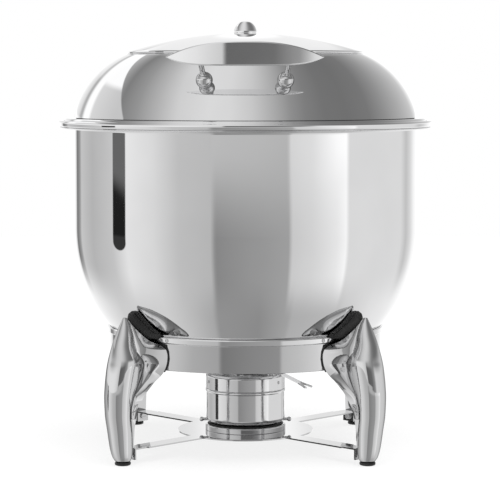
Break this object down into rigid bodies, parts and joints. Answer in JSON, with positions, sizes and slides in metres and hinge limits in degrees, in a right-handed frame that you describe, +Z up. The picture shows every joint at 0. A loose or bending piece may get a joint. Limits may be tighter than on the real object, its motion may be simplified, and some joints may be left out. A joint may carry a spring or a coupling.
{
  "type": "roll top chafer",
  "caption": "Round soup chafer with a polished deep bowl, swivelling two-leaf dome lid with a curved plate handle, and a cast-leg stand with a fuel burner.",
  "frame": {"origin": "on the floor below the centre of the bowl, at the bottom centre of the object's box", "axes": "+Z up; the handle and the front are at -Y; +X is to the right seen from the front"},
  "size_m": [0.4099, 0.41, 0.468],
  "materials": {
    "bowl_steel": "mirror-polished stainless steel",
    "pot_steel": "satin stainless steel",
    "lid_steel": "mirror-polished stainless steel",
    "handle_steel": "polished stainless steel",
    "leg_casting": "polished cast stainless steel",
    "frame_steel": "polished stainless steel",
    "burner_steel": "polished pressed steel",
    "fastener_steel": "bright fasteners",
    "fuel_can_metal": "plain can metal",
    "washer_plastic": "natural nylon",
    "black_rubber": "black moulded rubber"
  },
  "bodies": {
    "stand": {"leg_front_left": "leg_casting", "leg_front_right": "leg_casting", "leg_rear_left": "leg_casting", "leg_rear_right": "leg_casting", "foot_front_left": "black_rubber", "foot_front_right": "black_rubber", "foot_rear_left": "black_rubber", "foot_rear_right": "black_rubber", "cradle_pad_front_left": "black_rubber", "cradle_pad_front_right": "black_rubber", "cradle_pad_rear_left": "black_rubber", "cradle_pad_rear_right": "black_rubber", "ring_gasket_front_left": "black_rubber", "ring_gasket_front_right": "black_rubber", "ring_gasket_rear_left": "black_rubber", "ring_gasket_rear_right": "black_rubber", "support_ring": "frame_steel", "seat_ring": "frame_steel", "leg_bolts": "fastener_steel", "seat_screws": "fastener_steel", "base_plate": "frame_steel", "base_plate_screws": "fastener_steel", "burner_collar": "frame_steel"},
    "bowl": {"water_bowl": "bowl_steel", "bowl_base": "bowl_steel", "bowl_flange": "bowl_steel", "rim_band": "bowl_steel"},
    "pot": {"soup_pot": "pot_steel"},
    "lid": {"lid_base_ring": "lid_steel", "rear_lid_shell": "lid_steel", "pivot_bolt": "fastener_steel", "pivot_washer": "washer_plastic", "cap_spacer": "fastener_steel", "lid_cap": "lid_steel", "lid_knob": "lid_steel"},
    "front_leaf": {"front_lid_shell": "lid_steel", "handle_plate": "handle_steel", "handle_rod_left": "handle_steel", "handle_rod_right": "handle_steel", "handle_ball_left": "handle_steel", "handle_ball_right": "handle_steel"},
    "burner": {"burner_foot": "black_rubber", "burner_cup": "burner_steel", "burner_cover": "burner_steel", "burner_lugs": "burner_steel", "cover_screws": "fastener_steel", "fuel_can": "fuel_can_metal", "damper_rivet": "fastener_steel"},
    "damper": {"damper_plate": "burner_steel", "damper_lever": "burner_steel"}
  },
  "joints": [
    {"name": "bowl_lift", "type": "slide", "parent": "stand", "child": "bowl", "axis": [0, 0, 1], "range_m": [0, 0.08]},
    {"name": "pot_lift", "type": "slide", "parent": "bowl", "child": "pot", "axis": [0, 0, 1], "range_m": [0, 0.215]},
    {"name": "lid_lift", "type": "slide", "parent": "pot", "child": "lid", "axis": [0, 0, 1], "range_m": [0, 0.1]},
    {"name": "lid_swivel", "type": "hinge", "parent": "lid", "child": "front_leaf", "pos_m": [0, 0, 0.449], "axis": [0, 0, 1], "range_deg": [0, 175]},
    {"name": "burner_lift", "type": "slide", "parent": "stand", "child": "burner", "axis": [0, 0, 1], "range_m": [0, 0.018]},
    {"name": "damper_swing", "type": "hinge", "parent": "burner", "child": "damper", "pos_m": [0.02715, -0.02046, 0.081], "axis": [0, 0, 1], "range_deg": [0, 60]}
  ]
}
